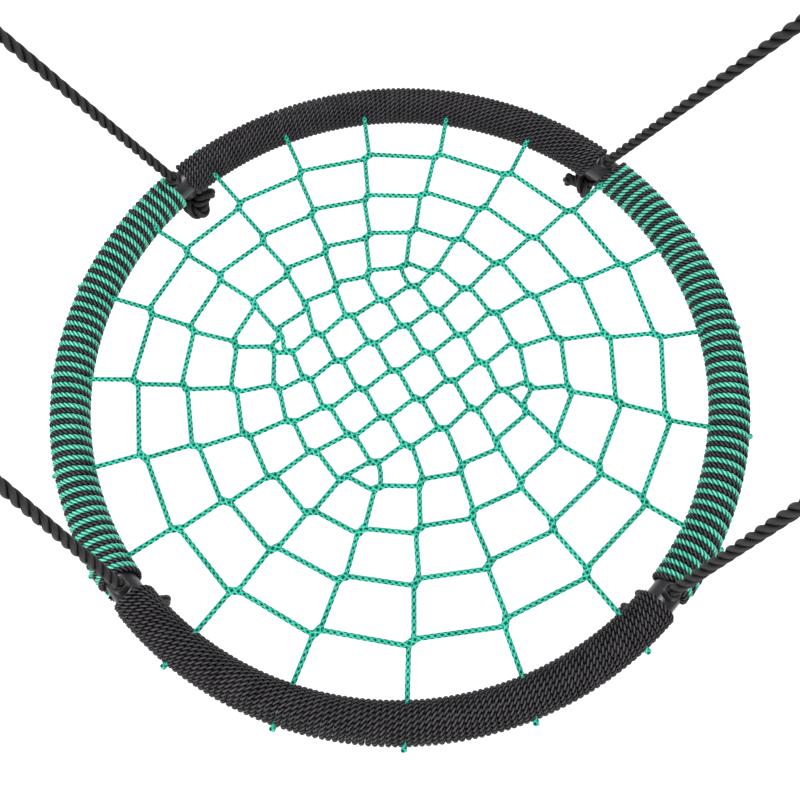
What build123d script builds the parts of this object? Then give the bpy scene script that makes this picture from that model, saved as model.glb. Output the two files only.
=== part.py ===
"""Saucer nest swing: a wound ring with a knotted cord net, four taut ropes, and two beam hangers.

Millimetres, +Z up. The origin is on the swing axis, midway between the two hanger bolts, and the
axis lies along X. The saucer hangs level below the origin. Angles are in degrees, from +X about +Z.
"""
from build123d import *
from math import acos, atan2, cos, degrees, hypot, radians, sin, sqrt, tan
import os

# --- driving dimensions ---------------------------------------------------------------------
RING_RADIUS = 472.0        # centre line of the ring tube
TUBE_RADIUS = 20.0         # bare ring tube
TUBE_WALL = 2.0
WRAP_RADIUS = 28.0         # tube and its winding: the saucer is 1000 mm across
WRAP_FIT = 0.05            # between the tube and the winding
BARE_HALF = 20.0           # bare tube each side of a rope hole
FRAME_JOINTS = (4.4, 94.7, 179.0, 268.7)  # where the ring's four bent tubes meet

ROPE_RADIUS = 8.0
ROPE_HOLES = {             # where the ropes pass through the ring
    "back_right": 53.8,
    "back_left": 143.5,
    "front_left": 228.1,
    "front_right": 323.9,
}

HANGER_X = 600.0           # each hanger, from the middle of the beam
BEARING_DROP = 80.0        # from the swing axis down to the bar that the rope eyes hang on
BEARING_HEIGHT = 1200.0    # from the ring's middle plane up to that bar
SAUCER_Z = -(BEARING_DROP + BEARING_HEIGHT)

NET_RADIUS = 3.25          # net cord
NET_Z = SAUCER_Z + 5.0
SPOKES = 20
SPOKE_STEP = 360.0 / SPOKES
RIM_TURN = 28.7            # spoke 0 where it meets the ring
SKEW = 4.1                 # the net is tied a little off centre, so the spokes crowd on one side
SKEW_SIDE = 50.4
GRID_LINES = 5
GRID_PITCH = 55.3
GRID_CENTRE = (-3.0, -0.7)
GRID_A = 36.6              # direction of the lines called A
GRID_B = 133.8             # direction of the lines called B
CORNER_PULL = 0.05         # share that the middle's four corners are drawn in
LONG_SIDE = 175.2          # the inner rings are a little longer this way
RINGS_CENTRE = (3.0, -2.0)
# Net rings from the outside in: radius, turn of spoke 0, widening of a side's spokes, lengthening,
# bulge towards the middle's corners, and sway of neighbouring sides towards each other
NET_RINGS = {
    "net_ring_outer": (377.4, 29.7, 0.0, 0.01, 0.8, 0.1),
    "net_ring_third": (304.4, 31.6, -0.1, 0.02, 1.4, 0.1),
    "net_ring_second": (235.5, 34.0, 0.1, 0.02, 2.0, 0.0),
    "net_ring_inner": (174.0, 37.7, 1.3, 0.04, 3.0, 1.5),
}
NET_BEND = 30.0            # largest bend radius where a net cord changes direction
NET_KNOT_RADIUS = 6.5

os.makedirs("parts", exist_ok=True)


def save(name, shape):
    """Writes one node."""
    export_step(shape, f"parts/{name}.step")


def polar(radius, angle, z=0.0):
    """A point at a radius and an angle about the saucer's middle."""
    return Vector(radius * cos(radians(angle)), radius * sin(radians(angle)), z)


def rod(start, end, radius):
    """A straight round bar between two points."""
    along = end - start
    return extrude(Plane(start, z_dir=along) * Circle(radius), along.length)


# --- net layout -----------------------------------------------------------------------------
def rim_angle(k):
    """Where spoke k goes through the ring."""
    plain = SPOKE_STEP * k + RIM_TURN
    return plain + SKEW * cos(radians(plain - SKEW_SIDE))


def ring_node(ring, k):
    """Where spoke k crosses a net ring."""
    radius, turn, widen, lengthen, bulge, sway = NET_RINGS[ring]
    side, place = divmod(k % SPOKES + 2, GRID_LINES)
    place -= 2
    plain = SPOKE_STEP * k + RIM_TURN
    angle = SPOKE_STEP * k + turn + SKEW * cos(radians(plain - SKEW_SIDE)) + widen * place
    angle += sway if side % 2 else -sway
    stretch = 1 + lengthen * cos(radians(2 * (angle - LONG_SIDE)))
    return polar((radius + bulge * (place**2 - 2)) * stretch, angle, NET_Z) + Vector(*RINGS_CENTRE)


def grid_node(i, j):
    """Where line A number i crosses line B number j in the middle of the net."""
    half = GRID_LINES // 2
    pull = 1 - CORNER_PULL * abs((i - half) * (j - half)) / half**2
    along_a = polar((j - half) * GRID_PITCH, GRID_A)
    along_b = polar((half - i) * GRID_PITCH, GRID_B)
    return Vector(*GRID_CENTRE, NET_Z) + (along_a + along_b) * pull


def spoke_line(k):
    """A spoke's direction from the outer net ring out to the rim, and its point on the rim."""
    inner = ring_node("net_ring_outer", k)
    rim = polar(RING_RADIUS, rim_angle(k), NET_Z)
    return (rim - inner).normalized(), rim


def knot_centre(k):
    """The stopper knot that ends spoke k on the outside of the ring."""
    direction, rim = spoke_line(k)
    return rim + direction * (WRAP_RADIUS + NET_KNOT_RADIUS)


def spoke_points(k):
    """A spoke's points from its outer end to the inner net ring."""
    direction, rim = spoke_line(k)
    outer_end = rim + direction * WRAP_RADIUS
    return [outer_end] + [ring_node(ring, k) for ring in NET_RINGS]


def bends(points, closed=False):
    """A bend radius for each corner: as large as its runs allow, up to the net's own bend."""
    count = len(points)
    corners = range(count) if closed else range(1, count - 1)
    radii = []
    for n in corners:
        before = points[n] - points[n - 1]
        after = points[(n + 1) % count] - points[n]
        turn = radians(before.get_angle(after))
        room = 0.45 * min(before.length, after.length) / tan(turn / 2)
        radii.append(min(NET_BEND, room))
    return radii


def net_cord(points, closed=False):
    """A net cord along straight runs joined by bends."""
    path = FilletPolyline(*points, radius=bends(points, closed), close=closed)
    section = Plane(path @ 0, z_dir=path % 0) * Circle(NET_RADIUS)
    return sweep(section, path=path)


def line_stops(line):
    """The crossings that shape a line over the middle: the middle line is straight, the rest bend once."""
    half = GRID_LINES // 2
    if line == half:
        return (0, GRID_LINES - 1)
    return (0, half, GRID_LINES - 1)


def make_net():
    """Five cords each way, knitted into a square in the middle, and four rings round it."""
    for i in range(GRID_LINES):
        middle = [grid_node(i, j) for j in line_stops(i)]
        points = spoke_points(8 + i) + middle + spoke_points(2 - i)[::-1]
        save(f"net_cord_a{i + 1}", net_cord(points))
    for j in range(GRID_LINES):
        middle = [grid_node(i, j) for i in line_stops(j)]
        points = spoke_points(7 - j) + middle + spoke_points(13 + j)[::-1]
        save(f"net_cord_b{j + 1}", net_cord(points))
    for ring in NET_RINGS:
        points = [ring_node(ring, k) for k in range(SPOKES)]
        save(ring, net_cord(points, closed=True))
    knots = [Pos(*knot_centre(k)) * Sphere(NET_KNOT_RADIUS) for k in range(SPOKES)]
    save("net_end_knots", Compound(children=knots))


# --- rope lines -----------------------------------------------------------------------------
CARABINER_BAR = 5.0        # radius of the carabiner's bar
TOP_BEND = 15.5            # carabiner's centre line round the hanger bolt's bush
BOTTOM_BEND = 32.0         # carabiner's centre line where the rope eyes hang
EYE_Y = 15.0               # rope eyes sit this far each side of the carabiner's middle
BOTTOM_CENTRE = -BEARING_DROP + sqrt(BOTTOM_BEND**2 - EYE_Y**2)


class RopeLine:
    """A rope's straight line from its hole in the ring up to the bar that its eye hangs on."""

    def __init__(self, name, angle):
        self.name = name
        self.side = -1 if "left" in name else 1
        self.end = -1 if "front" in name else 1
        self.hole = polar(RING_RADIUS, angle, SAUCER_Z)
        self.bearing = Vector(self.side * HANGER_X, self.end * EYE_Y, -BEARING_DROP)
        self.up = (self.bearing - self.hole).normalized()
        self.length = (self.bearing - self.hole).length
        bar = Vector(0, sqrt(BOTTOM_BEND**2 - EYE_Y**2), self.end * EYE_Y).normalized()
        self.across = (bar - self.up * bar.dot(self.up)).normalized()

    def at(self, distance):
        """The point this far up the rope from the middle of the hole."""
        return self.hole + self.up * distance


ROPES = [RopeLine(name, angle) for name, angle in ROPE_HOLES.items()]
BUSH_RADIUS = 10.5
BUSH_BORE = 8.5
BUSH_LIP = 11.3
BUSH_HALF = 30.0           # the rope leans along the ring, so its way through the tube is long
LIP_LENGTH = 1.8
LIP_ROUND = 0.6
LIP_CLEAR = 0.5            # round the lip, in the winding
KNOT_RADIUS = 21.5
KNOT_GAP = 2.0             # between the bush and the knot
KNOT_TAIL = 12.0           # rope left over below the knot
DRILL_EXTRA = 5.0          # how far each drill runs past the ring
FRAME_CLEAR = 0.75         # round a net cord in the ring tube
WINDING_CLEAR = 0.3        # round a net cord in the winding


# --- ring -----------------------------------------------------------------------------------
def spoke_cutter(k, radius):
    """A straight drill along spoke k, through the whole ring tube."""
    direction, rim = spoke_line(k)
    reach = WRAP_RADIUS + DRILL_EXTRA
    return rod(rim - direction * reach, rim + direction * reach, radius)


def rope_cutter(line, radius):
    """A straight drill along a rope, through the whole ring tube."""
    reach = BUSH_HALF + DRILL_EXTRA
    return rod(line.at(-reach), line.at(reach), radius)


def bent_tube(outer, inner, start, span):
    """A bent tube along the ring's centre line: where it starts, and the angle that it covers."""
    profile = Plane.XZ * Pos(RING_RADIUS, 0) * (Circle(outer) - Circle(inner))
    tube = revolve(profile, axis=Axis.Z, revolution_arc=span)
    return Pos(0, 0, SAUCER_Z) * Rot(0, 0, start) * tube


def within(angle, start, span):
    """Whether an angle lies on a stretch of the ring."""
    return (angle - start) % 360 < span


def make_frame():
    """The ring: four bent tubes, each with its spoke holes and one rope hole."""
    names = ("back_right", "back_left", "front_left", "front_right")
    for n, name in enumerate(names):
        start = FRAME_JOINTS[n]
        span = (FRAME_JOINTS[(n + 1) % 4] - start) % 360
        tube = bent_tube(TUBE_RADIUS, TUBE_RADIUS - TUBE_WALL, start, span)
        for k in range(SPOKES):
            if within(rim_angle(k), start, span):
                tube -= spoke_cutter(k, NET_RADIUS + FRAME_CLEAR)
        for line in ROPES:
            if line.name == name:
                tube -= rope_cutter(line, BUSH_RADIUS)
        save(f"frame_{name}", tube)


def make_windings():
    """The winding of each quarter, from one rope hole to the next, with its spoke holes."""
    bare = degrees(BARE_HALF / RING_RADIUS)
    quarters = {
        "back": ("back_right", "back_left"),
        "left": ("back_left", "front_left"),
        "front": ("front_left", "front_right"),
        "right": ("front_right", "back_right"),
    }
    reliefs = [rope_cutter(line, BUSH_LIP + LIP_CLEAR) for line in ROPES]
    for name, (first, last) in quarters.items():
        start = ROPE_HOLES[first] + bare
        span = (ROPE_HOLES[last] - ROPE_HOLES[first]) % 360 - 2 * bare
        sleeve = bent_tube(WRAP_RADIUS, TUBE_RADIUS + WRAP_FIT, start, span)
        for k in range(SPOKES):
            if within(rim_angle(k), start, span):
                sleeve -= spoke_cutter(k, NET_RADIUS + WINDING_CLEAR)
        for relief in reliefs:
            sleeve -= relief
        save(f"winding_{name}", sleeve)


# --- ropes ----------------------------------------------------------------------------------
BAR_GAP = 4.0              # the bar is curved, so a thimble rides on it at its edges
EYE_INNER = 12.0           # inside of the thimble's round end
THIMBLE_WALL = 3.0
THIMBLE_HALF = 9.4         # half of the thimble's width
CHEEK = 1.4                # the thimble's side walls
CHEEK_HEIGHT = 6.0
TIP_INNER = 45.0           # from the round end's centre to the thimble's tip: inside, wall, cheek
TIP_WALL = 56.0
TIP_CHEEK = 62.0
EYE_BEND = EYE_INNER + THIMBLE_WALL + ROPE_RADIUS
THROAT = 62.0              # from the round end's centre down to where the eye's two legs meet
THROAT_HALF = 8.4
SPLICE_RADIUS = 14.5
SPLICE_LENGTH = 112.0
SPLICE_START = 4.0         # the splice reaches this far up between the eye's legs
EYE_DROP = EYE_INNER - CARABINER_BAR - BAR_GAP
ROPE_TOP = EYE_DROP + THROAT + SPLICE_LENGTH - SPLICE_START


def eye_plane(line):
    """The plane of a rope's eye: x across the eye, y up the rope, from the round end's centre."""
    centre = line.bearing - line.up * EYE_DROP
    return Plane(centre, x_dir=line.up.cross(line.across), z_dir=line.across)


def teardrop(radius, tip):
    """A round end with two straight sides that meet at a tip."""
    half = degrees(acos(radius / tip))
    left = (-radius * sin(radians(half)), -radius * cos(radians(half)))
    right = (radius * sin(radians(half)), -radius * cos(radians(half)))
    outline = ThreePointArc(left, (0, radius), right) + Polyline(right, (0, -tip), left)
    return make_face(outline)


def make_thimble(line):
    """A channel that keeps the rope's eye from chafing on the carabiner."""
    inner = teardrop(EYE_INNER, TIP_INNER)
    wall = teardrop(EYE_INNER + THIMBLE_WALL, TIP_WALL) - inner
    cheek = teardrop(EYE_INNER + THIMBLE_WALL + CHEEK_HEIGHT, TIP_CHEEK) - inner
    shape = extrude(wall, THIMBLE_HALF, both=True)
    shape += Pos(0, 0, THIMBLE_HALF - CHEEK) * extrude(cheek, CHEEK)
    shape += Pos(0, 0, -THIMBLE_HALF) * extrude(cheek, CHEEK)
    save(f"thimble_{line.name}", eye_plane(line) * shape)


def make_eye(line):
    """The rope's end, led round the thimble and spliced back into itself."""
    distance = hypot(THROAT_HALF, THROAT)
    touch = radians(degrees(atan2(-THROAT, THROAT_HALF)) + degrees(acos(EYE_BEND / distance)))
    x, y = EYE_BEND * cos(touch), EYE_BEND * sin(touch)
    bend = ThreePointArc((-x, y), (0, EYE_BEND), (x, y))
    path = Line((-THROAT_HALF, -THROAT), (-x, y)) + bend + Line((x, y), (THROAT_HALF, -THROAT))
    plane = eye_plane(line)
    loop = sweep(Plane(path @ 0, z_dir=path % 0) * Circle(ROPE_RADIUS), path=path)
    centred = (Align.CENTER, Align.CENTER, Align.MAX)
    splice = Cone(ROPE_RADIUS, SPLICE_RADIUS, SPLICE_LENGTH, align=centred)
    splice = Pos(0, -THROAT + SPLICE_START, 0) * Rot(-90, 0, 0) * splice
    save(f"rope_eye_{line.name}", plane * (loop + splice))


def make_rope(line):
    """One hanging rope: its bush in the ring, its stopper knot below, and its free length above."""
    bush = rod(line.at(-BUSH_HALF), line.at(BUSH_HALF), BUSH_RADIUS)
    for low in (-BUSH_HALF, BUSH_HALF - LIP_LENGTH):
        lip = Plane(line.at(low), z_dir=line.up) * extrude(Circle(BUSH_LIP), LIP_LENGTH)
        bush += fillet(lip.edges(), LIP_ROUND)
    bush -= rope_cutter(line, BUSH_BORE)
    save(f"rope_bush_{line.name}", bush)

    drop = BUSH_HALF + KNOT_GAP + KNOT_RADIUS
    tail = KNOT_RADIUS + KNOT_TAIL
    stub = Pos(0, 0, (drop + BUSH_HALF - tail) / 2) * Cylinder(ROPE_RADIUS, drop + BUSH_HALF + tail)
    knot = Sphere(KNOT_RADIUS) + stub
    save(f"rope_knot_{line.name}", Plane(line.at(-drop), z_dir=line.up) * knot)

    free_length = line.length - BUSH_HALF - ROPE_TOP
    rope = rod(line.at(BUSH_HALF), line.at(BUSH_HALF + free_length), ROPE_RADIUS)
    save(f"rope_{line.name}", rope)
    print(f"rope {line.name}: straight, no bends, {free_length:.1f} mm long")


# --- hangers --------------------------------------------------------------------------------
BOLT_RADIUS = 5.0
SLEEVE_RADIUS = 10.2
SLEEVE_BORE = 5.1
EAR_INNER = 12.4           # from the hanger's middle to each ear's inner face
EAR_THICK = 5.0
EAR_WIDTH = 36.0
PLATE_LOW = 26.0
PLATE_THICK = 6.0
PLATE_SIZE = (100.0, 60.0)
PLATE_HOLES = (72.0, 34.0)
PLATE_HOLE_RADIUS = 4.5
PLATE_CORNER = 1.5
BOLT_HEAD = 6.4
BOLT_FLATS = 17.0
BOLT_RUN = 12.0            # how far the bolt runs past the ear
BOLT_THREAD_FIT = 0.02
NUT_HEIGHT = 8.4
WASHER = 2.0
WASHER_RADIUS = 10.0
BUSH_PLAY = 0.1

GATE_TOP = 0.12            # along the carabiner's straight side: where the gate is hinged
GATE_LOW = 0.93            # and where it shuts on the nose
GATE_RADIUS = 4.5
GATE_GAP = 0.4             # between the gate and the nose
GATE_PIN_RADIUS = 1.6
GATE_PIN_FIT = 0.05
GATE_PIN_HALF = 6.0
GATE_SLOT = 4.4
GATE_SLOT_FIT = 0.2
GATE_SLOT_DEPTH = 17.0
GATE_KNUCKLE = 6.5
TONGUE_RADIUS = 4.2
TONGUE_RUN = 3.0           # the tongue's overlap with the gate's bar


def side_ends():
    """The ends of a carabiner's straight side: points of its Y-Z outline where it leaves the bends."""
    gap = -BOTTOM_CENTRE
    lean = degrees(acos((BOTTOM_BEND - TOP_BEND) / gap))
    out = (sin(radians(lean)), cos(radians(lean)))
    top = (TOP_BEND * out[0], TOP_BEND * out[1])
    low = (BOTTOM_BEND * out[0], BOTTOM_CENTRE + BOTTOM_BEND * out[1])
    return top, low


def make_carabiner(name, x):
    """A pear-shaped carabiner with its sprung gate, hung round the hanger's bush."""
    top, low = side_ends()

    def place(y, z):
        return Vector(x, y, z)

    def along(part):
        return (top[0] + part * (low[0] - top[0]), top[1] + part * (low[1] - top[1]))

    hinge = place(*along(GATE_TOP))
    nose = place(*along(GATE_LOW))
    over = ThreePointArc(place(*top), place(0, TOP_BEND), place(-top[0], top[1]))
    under = ThreePointArc(
        place(-low[0], low[1]), place(0, BOTTOM_CENTRE - BOTTOM_BEND), place(*low)
    )
    path = Wire([
        Edge.make_line(hinge, place(*top)),
        over.edge(),
        Edge.make_line(place(-top[0], top[1]), place(-low[0], low[1])),
        under.edge(),
        Edge.make_line(place(*low), nose),
    ])
    body = sweep(Plane(path @ 0, z_dir=path % 0) * Circle(CARABINER_BAR), path=path)
    slot = Pos(*hinge) * Box(GATE_SLOT, 4 * GATE_KNUCKLE, GATE_SLOT_DEPTH)
    across = Vector(1, 0, 0)
    pin_hole = rod(hinge - across * GATE_KNUCKLE, hinge + across * GATE_KNUCKLE, GATE_PIN_RADIUS)
    knuckle = Pos(*hinge) * Sphere(GATE_KNUCKLE)
    save(f"carabiner_{name}", body + knuckle - slot - pin_hole)

    direction = (nose - hinge).normalized()
    bar = rod(hinge + direction * (GATE_KNUCKLE + TONGUE_RUN), nose - direction * GATE_GAP, GATE_RADIUS)
    tongue_plane = Plane(hinge, x_dir=direction, z_dir=across)
    half = GATE_SLOT / 2 - GATE_SLOT_FIT
    outline = Circle(TONGUE_RADIUS)
    outline += Pos(GATE_KNUCKLE, 0) * Rectangle(2 * GATE_KNUCKLE, 2 * TONGUE_RADIUS)
    outline -= Circle(GATE_PIN_RADIUS + GATE_PIN_FIT)
    tongue = tongue_plane * extrude(outline, half, both=True)
    save(f"gate_{name}", bar + tongue)
    pin = rod(hinge - across * GATE_PIN_HALF, hinge + across * GATE_PIN_HALF, GATE_PIN_RADIUS)
    save(f"gate_pin_{name}", pin)
    print(f"gate hinge {name}: y {hinge.Y:.3f} z {hinge.Z:.3f}")


def make_hanger(name, x):
    """A steel bracket under the beam, with the bolt and bush that the carabiner turns on."""
    plate = Pos(x, 0, PLATE_LOW + PLATE_THICK / 2) * Box(*PLATE_SIZE, PLATE_THICK)
    hole_x, hole_y = PLATE_HOLES
    for side_x in (-1, 1):
        for side_y in (-1, 1):
            where = Pos(x + side_x * hole_x / 2, side_y * hole_y / 2, PLATE_LOW)
            plate -= where * Cylinder(PLATE_HOLE_RADIUS, 4 * PLATE_THICK)
    corners = plate.edges().filter_by(Axis.Z).group_by(SortBy.LENGTH)[-1]
    plate = fillet(corners, PLATE_CORNER)
    for side in (-1, 1):
        middle = x + side * (EAR_INNER + EAR_THICK / 2)
        outline = Circle(EAR_WIDTH / 2) + Pos(0, PLATE_LOW / 2) * Rectangle(EAR_WIDTH, PLATE_LOW)
        ear_plane = Plane((middle, 0, 0), x_dir=(0, 1, 0), z_dir=(1, 0, 0))
        ear = ear_plane * extrude(outline - Circle(SLEEVE_BORE), EAR_THICK / 2, both=True)
        plate += ear
    save(f"hanger_bracket_{name}", plate)

    flat = Plane((x, 0, 0), x_dir=(0, 1, 0), z_dir=(1, 0, 0))
    bush_half = EAR_INNER - BUSH_PLAY
    ring = Circle(SLEEVE_RADIUS) - Circle(SLEEVE_BORE)
    save(f"hanger_bush_{name}", flat * extrude(ring, bush_half, both=True))

    outside = EAR_INNER + EAR_THICK
    shank_half = outside + BOLT_RUN
    head = RegularPolygon(BOLT_FLATS / 2, 6, major_radius=False)
    bolt = flat * Pos(0, 0, -outside - BOLT_HEAD) * extrude(head, BOLT_HEAD)
    bolt += rod(Vector(x - outside, 0, 0), Vector(x + shank_half, 0, 0), BOLT_RADIUS)
    save(f"hanger_bolt_{name}", bolt)

    nut = extrude(head - Circle(BOLT_RADIUS + BOLT_THREAD_FIT), NUT_HEIGHT)
    nut = flat * Pos(0, 0, outside + WASHER) * nut
    disc = Circle(WASHER_RADIUS) - Circle(SLEEVE_BORE)
    washer = flat * Pos(0, 0, outside) * extrude(disc, WASHER)
    save(f"hanger_nut_{name}", Compound(children=[washer, nut]))


make_frame()
make_windings()
make_net()
for rope_line in ROPES:
    make_rope(rope_line)
    make_eye(rope_line)
    make_thimble(rope_line)
for hanger_name, hanger_x in (("left", -HANGER_X), ("right", HANGER_X)):
    make_hanger(hanger_name, hanger_x)
    make_carabiner(hanger_name, hanger_x)
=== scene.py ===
"""Saucer nest swing: the wound ring, knotted net, laid ropes and their knots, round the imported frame.

Metres, in the frame's own axes: the origin is on the swing axis and the saucer hangs below it.
"""
import math

import bpy
import numpy as np
from mathutils import Matrix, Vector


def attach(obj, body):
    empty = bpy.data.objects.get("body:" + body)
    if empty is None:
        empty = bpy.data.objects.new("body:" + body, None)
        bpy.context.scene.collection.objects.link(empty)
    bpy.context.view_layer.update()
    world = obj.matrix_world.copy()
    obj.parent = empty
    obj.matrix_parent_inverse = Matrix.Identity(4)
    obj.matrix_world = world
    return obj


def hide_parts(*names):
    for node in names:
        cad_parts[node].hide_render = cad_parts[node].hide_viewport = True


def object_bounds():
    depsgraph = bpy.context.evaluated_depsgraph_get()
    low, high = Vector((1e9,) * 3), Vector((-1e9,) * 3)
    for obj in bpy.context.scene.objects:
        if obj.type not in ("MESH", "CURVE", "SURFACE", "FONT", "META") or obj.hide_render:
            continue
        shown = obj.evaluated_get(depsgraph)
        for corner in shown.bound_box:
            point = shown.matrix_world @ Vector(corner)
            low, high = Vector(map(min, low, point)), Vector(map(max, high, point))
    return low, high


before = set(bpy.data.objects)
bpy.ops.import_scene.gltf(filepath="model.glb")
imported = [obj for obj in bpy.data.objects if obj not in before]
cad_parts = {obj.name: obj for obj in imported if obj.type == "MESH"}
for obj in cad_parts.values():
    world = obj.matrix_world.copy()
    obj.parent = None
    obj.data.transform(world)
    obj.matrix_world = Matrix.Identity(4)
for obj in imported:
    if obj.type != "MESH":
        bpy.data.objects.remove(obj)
CAD_BOX = [list(corner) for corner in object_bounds()]
RANDOM = np.random.default_rng(20)
SWING = "saucer_swing"
UP = np.array((0.0, 0.0, 1.0))

# --- sizes, as in the CAD model -------------------------------------------------------------
RING_RADIUS = 0.472
TUBE_RADIUS = 0.020
WRAP_RADIUS = 0.028
SAUCER_Z = -1.280
NET_Z = -1.275
HANGER_X = 0.600
BEARING_DROP = 0.080
EYE_Y = 0.015
ROPE_RADIUS = 0.008
BUSH_HALF = 0.030
ROPE_HOLES = {"back_right": 53.8, "back_left": 143.5, "front_left": 228.1, "front_right": 323.9}

SPOKES = 20
SPOKE_STEP = 360.0 / SPOKES
RIM_TURN = 28.7            # angle of spoke 0 at the ring
SKEW = 4.1                 # the spokes crowd by up to this many degrees towards one side
SKEW_SIDE = 50.4
GRID_LINES = 5             # cords each way across the middle
GRID_PITCH = 0.0553
GRID_CENTRE = np.array((-0.0030, -0.0007, NET_Z))
GRID_A = 36.6              # directions of the two sets of cords across the middle
GRID_B = 133.8
CORNER_PULL = 0.05         # the middle's corner crossings are drawn in by this share
LONG_SIDE = 175.2          # direction in which the net rings are lengthened
RINGS_CENTRE = np.array((0.0030, -0.0020, 0.0))
# Net rings from the outside in: radius, turn of spoke 0, widening of a side's spokes, lengthening,
# bulge towards the middle's corners, and sway of neighbouring sides towards each other
NET_RINGS = {
    "net_ring_outer": (0.3774, 29.7, 0.0, 0.01, 0.0008, 0.1),
    "net_ring_third": (0.3044, 31.6, -0.1, 0.02, 0.0014, 0.1),
    "net_ring_second": (0.2355, 34.0, 0.1, 0.02, 0.0020, 0.0),
    "net_ring_inner": (0.1740, 37.7, 1.3, 0.04, 0.0030, 1.5),
}


# --- vectors and lines ----------------------------------------------------------------------
def unit(vectors):
    """Vectors at length 1."""
    return vectors / np.linalg.norm(vectors, axis=-1, keepdims=True)


def polar(radius, angle, z):
    """A point at a radius and an angle in degrees about the saucer's middle."""
    turn = math.radians(angle)
    return np.array((radius * math.cos(turn), radius * math.sin(turn), z))


def lengths_along(points):
    """How far along a line each of its points is."""
    steps = np.linalg.norm(np.diff(points, axis=0), axis=1)
    return np.concatenate(([0.0], np.cumsum(steps)))


def evenly(points, step):
    """The same line with its points about one step apart."""
    along = lengths_along(points)
    places = np.linspace(0.0, along[-1], max(2, round(along[-1] / step) + 1))
    return np.stack([np.interp(places, along, points[:, axis]) for axis in range(3)], axis=1)


def spline_points(control, step, closed=False):
    """Points read along the smooth NURBS curve of these control points."""
    curve = bpy.data.curves.new("route", "CURVE")
    curve.dimensions = "3D"
    spline = curve.splines.new("NURBS")
    spline.points.add(len(control) - 1)
    for point, place in zip(spline.points, control):
        point.co = (*place, 1.0)
    spline.use_cyclic_u = closed
    spline.order_u = 3
    spline.use_endpoint_u = not closed
    spline.resolution_u = 12
    holder = bpy.data.objects.new("route", curve)
    line = bpy.data.meshes.new_from_object(holder)
    points = np.array([vertex.co for vertex in line.vertices])
    if closed:
        points = np.vstack((points, points[:1]))
    bpy.data.objects.remove(holder)
    bpy.data.curves.remove(curve)
    bpy.data.meshes.remove(line)
    return evenly(points, step)


def carried_normals(points, first):
    """A normal at each point, carried along the line without twisting."""
    directions = unit(np.gradient(points, axis=0))
    normals = []
    normal = np.array(first, float)
    for direction in directions:
        normal = unit(normal - direction * (normal @ direction))
        normals.append(normal)
    return np.array(normals), directions


# --- cord meshes ----------------------------------------------------------------------------
TWISTED_SIDES = 4          # sides for each strand of a small twisted cord
TWISTED_GROOVE = 0.34      # depth of the grooves between its strands, as a share of its radius
TWISTED_CROWN = 0.75       # under 1: broad crowns and narrow grooves
STRAND_SIDES = 12
STRAND_SHARE = 0.475       # a rope strand's radius, as a share of the rope's
STRAND_CRUSH = 0.06        # how much neighbouring strands flatten each other
BRAID_SIDES = 16
BRAID_STRANDS = 3          # strands each way round a braided cord
BRAID_LAY = 0.0265
BRAID_RELIEF = 0.14        # depth of the grooves between them, as a share of the cord's radius
BRAID_CROWN = 1.6          # over 1: narrow crowns and broad grooves


class CordMesh:
    """A mesh of swept cords. Each vertex keeps its place along and around the cord, and its height, which
    paints shade low and highlight high.
    """

    def __init__(self):
        self.points = []
        self.loops = []
        self.sides = []
        self.places = []
        self.count = 0

    def sweep(self, centre, normals, around, radii, shade_heights, twist=0.0):
        """One tube: radii and shade_heights (for painted shade and highlight) are tables with a row for each
        centre and a column for each side.
        """
        rows, columns = radii.shape
        directions = unit(np.gradient(centre, axis=0))
        normals = unit(normals - directions * np.sum(normals * directions, axis=1, keepdims=True))
        across = np.cross(directions, normals)
        angles = around[None, :] + np.broadcast_to(np.asarray(twist, float), (rows,))[:, None]
        outward = np.cos(angles)[..., None] * normals[:, None] + np.sin(angles)[..., None] * across[:, None]
        points = centre[:, None] + radii[..., None] * outward
        along = np.broadcast_to(lengths_along(centre)[:, None], radii.shape)
        place = np.stack((along, np.broadcast_to(around, radii.shape), shade_heights), axis=2)

        start = np.arange(rows - 1)[:, None] * columns
        this = np.arange(columns)[None, :]
        following = (this + 1) % columns
        quads = np.stack(
            (start + this, start + following, start + columns + following, start + columns + this), axis=2
        )
        low_cap = np.arange(columns)[::-1]
        high_cap = (rows - 1) * columns + np.arange(columns)
        loops = np.concatenate((quads.ravel(), low_cap, high_cap)) + self.count
        self.loops.append(loops)
        self.sides.append(np.concatenate((np.full((rows - 1) * columns, 4), [columns, columns])))
        self.points.append(points.reshape(-1, 3))
        self.places.append(place.reshape(-1, 3))
        self.count += rows * columns

    def build(self, name, material):
        """The finished object."""
        points = np.concatenate(self.points)
        loops = np.concatenate(self.loops)
        sides = np.concatenate(self.sides)
        mesh = bpy.data.meshes.new(name)
        mesh.vertices.add(len(points))
        mesh.vertices.foreach_set("co", points.ravel())
        mesh.loops.add(len(loops))
        mesh.loops.foreach_set("vertex_index", loops)
        mesh.polygons.add(len(sides))
        mesh.polygons.foreach_set("loop_start", np.concatenate(([0], np.cumsum(sides)[:-1])))
        mesh.polygons.foreach_set("use_smooth", np.ones(len(sides), bool))
        mesh.update(calc_edges=True)
        # The height in the cord attribute paints shade and highlight in the cord materials
        attribute = mesh.attributes.new("cord", "FLOAT_VECTOR", "POINT")
        attribute.data.foreach_set("vector", np.concatenate(self.places).ravel())
        mesh.materials.append(material)
        made = bpy.data.objects.new(name, mesh)
        bpy.context.scene.collection.objects.link(made)
        return made


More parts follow.
